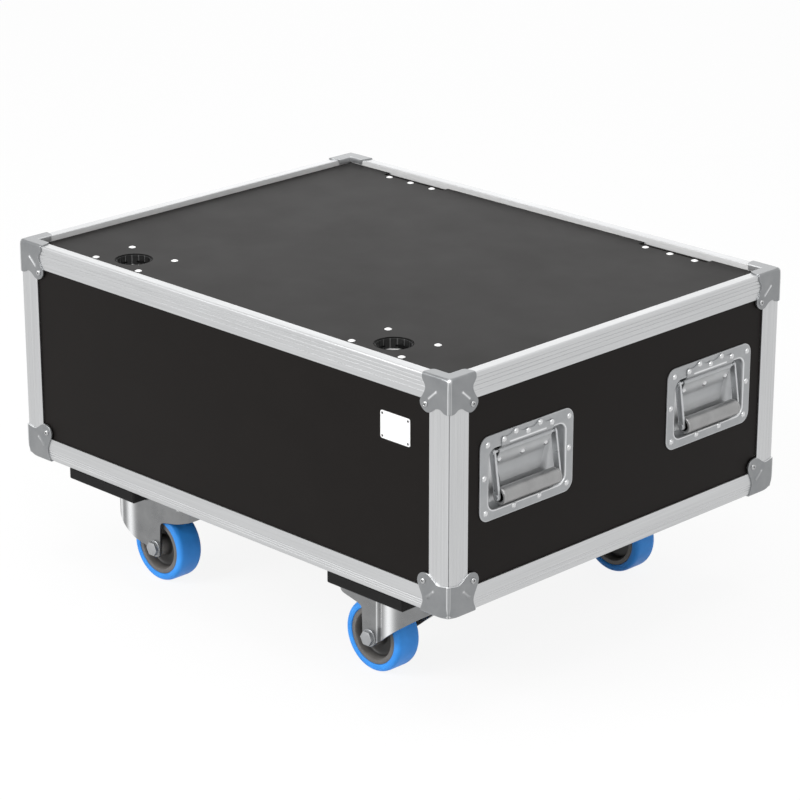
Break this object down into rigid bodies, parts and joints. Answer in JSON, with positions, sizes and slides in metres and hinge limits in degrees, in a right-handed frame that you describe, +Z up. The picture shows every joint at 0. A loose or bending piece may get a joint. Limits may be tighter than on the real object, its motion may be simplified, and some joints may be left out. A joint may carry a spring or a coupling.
{
  "type": "wheeled road case",
  "caption": "Low wheeled road case of black board in aluminium rails, with pressed steel corners, recessed spring handles, a hinged recessed hatch and swivel casters with blue tyres.",
  "frame": {"origin": "on the floor under the middle of the case", "axes": "+X along the case's length, towards the right end; +Y from the front to the back; +Z up"},
  "size_m": [0.853, 0.6424, 0.4723],
  "materials": {
    "board": "black satin laminate",
    "rail": "mill finish extrusion",
    "corner": "zinc plated pressing",
    "handle_steel": "zinc plated pressing",
    "handle_grip": "satin grey grip on plated legs",
    "hinge": "black plated steel",
    "grip_cup": "black moulded plastic",
    "block": "black painted plywood",
    "caster_steel": "zinc plated pressing",
    "hub": "grey moulded nylon",
    "tyre": "blue elastic tyre"
  },
  "bodies": {
    "case": {"front_panel": "board", "back_panel": "board", "left_panel": "board", "right_panel": "board", "base_panel": "board", "top_rail_front": "rail", "base_rail_front": "rail", "top_rail_right": "rail", "base_rail_right": "rail", "top_rail_back": "rail", "base_rail_back": "rail", "top_rail_left": "rail", "base_rail_left": "rail", "corner_post_front_left": "rail", "top_corner_front_left": "corner", "base_corner_front_left": "corner", "caster_block_front_left": "block", "caster_plate_front_left": "caster_steel", "corner_post_front_right": "rail", "top_corner_front_right": "corner", "base_corner_front_right": "corner", "caster_block_front_right": "block", "caster_plate_front_right": "caster_steel", "corner_post_back_right": "rail", "top_corner_back_right": "corner", "base_corner_back_right": "corner", "caster_block_back_right": "block", "caster_plate_back_right": "caster_steel", "corner_post_back_left": "rail", "top_corner_back_left": "corner", "base_corner_back_left": "corner", "caster_block_back_left": "block", "caster_plate_back_left": "caster_steel", "handle_dish_right_front": "handle_steel", "handle_dish_right_back": "handle_steel", "handle_dish_left_front": "handle_steel", "handle_dish_left_back": "handle_steel", "hinge_leaf_left": "hinge", "hinge_leaf_right": "hinge"},
    "hatch": {"hatch_panel": "board", "grip_cup_left": "grip_cup", "grip_cup_right": "grip_cup", "hatch_leaf_left": "hinge", "hatch_leaf_right": "hinge"},
    "handle_right_front": {"handle_bail_right_front": "handle_grip"},
    "handle_right_back": {"handle_bail_right_back": "handle_grip"},
    "handle_left_front": {"handle_bail_left_front": "handle_grip"},
    "handle_left_back": {"handle_bail_left_back": "handle_grip"},
    "caster_front_left": {"caster_fork_front_left": "caster_steel"},
    "wheel_front_left": {"wheel_hub_front_left": "hub", "wheel_tyre_front_left": "tyre"},
    "caster_front_right": {"caster_fork_front_right": "caster_steel"},
    "wheel_front_right": {"wheel_hub_front_right": "hub", "wheel_tyre_front_right": "tyre"},
    "caster_back_right": {"caster_fork_back_right": "caster_steel"},
    "wheel_back_right": {"wheel_hub_back_right": "hub", "wheel_tyre_back_right": "tyre"},
    "caster_back_left": {"caster_fork_back_left": "caster_steel"},
    "wheel_back_left": {"wheel_hub_back_left": "hub", "wheel_tyre_back_left": "tyre"}
  },
  "joints": [
    {"name": "hatch_hinge", "type": "hinge", "parent": "case", "child": "hatch", "pos_m": [0, 0.29645, 0.45875], "axis": [-1, 0, 0], "range_deg": [0, 90]},
    {"name": "handle_right_front_swing", "type": "hinge", "parent": "case", "child": "handle_right_front", "pos_m": [0.4069, -0.17805, 0.3539], "axis": [0, -1, 0], "range_deg": [0, 90], "stiffness_Nm_per_rad": 0.2, "springref_deg": -17.19},
    {"name": "handle_right_back_swing", "type": "hinge", "parent": "case", "child": "handle_right_back", "pos_m": [0.4069, 0.17805, 0.3539], "axis": [0, -1, 0], "range_deg": [0, 90], "stiffness_Nm_per_rad": 0.2, "springref_deg": -17.19},
    {"name": "handle_left_front_swing", "type": "hinge", "parent": "case", "child": "handle_left_front", "pos_m": [-0.4069, -0.17805, 0.3539], "axis": [0, 1, 0], "range_deg": [0, 90], "stiffness_Nm_per_rad": 0.2, "springref_deg": -17.19},
    {"name": "handle_left_back_swing", "type": "hinge", "parent": "case", "child": "handle_left_back", "pos_m": [-0.4069, 0.17805, 0.3539], "axis": [0, 1, 0], "range_deg": [0, 90], "stiffness_Nm_per_rad": 0.2, "springref_deg": -17.19},
    {"name": "caster_front_left_swivel", "type": "hinge", "parent": "case", "child": "caster_front_left", "pos_m": [-0.2605, -0.23605, 0.1], "axis": [0, 0, 1], "continuous": true},
    {"name": "wheel_front_left_roll", "type": "hinge", "parent": "caster_front_left", "child": "wheel_front_left", "pos_m": [-0.2145, -0.23605, 0.05], "axis": [0, 1, 0], "continuous": true},
    {"name": "caster_front_right_swivel", "type": "hinge", "parent": "case", "child": "caster_front_right", "pos_m": [0.2605, -0.23605, 0.1], "axis": [0, 0, 1], "continuous": true},
    {"name": "wheel_front_right_roll", "type": "hinge", "parent": "caster_front_right", "child": "wheel_front_right", "pos_m": [0.2145, -0.23605, 0.05], "axis": [0, 1, 0], "continuous": true},
    {"name": "caster_back_right_swivel", "type": "hinge", "parent": "case", "child": "caster_back_right", "pos_m": [0.2605, 0.23605, 0.1], "axis": [0, 0, 1], "continuous": true},
    {"name": "wheel_back_right_roll", "type": "hinge", "parent": "caster_back_right", "child": "wheel_back_right", "pos_m": [0.2145, 0.23605, 0.05], "axis": [0, 1, 0], "continuous": true},
    {"name": "caster_back_left_swivel", "type": "hinge", "parent": "case", "child": "caster_back_left", "pos_m": [-0.2605, 0.23605, 0.1], "axis": [0, 0, 1], "continuous": true},
    {"name": "wheel_back_left_roll", "type": "hinge", "parent": "caster_back_left", "child": "wheel_back_left", "pos_m": [-0.2145, 0.23605, 0.05], "axis": [0, 1, 0], "continuous": true}
  ]
}
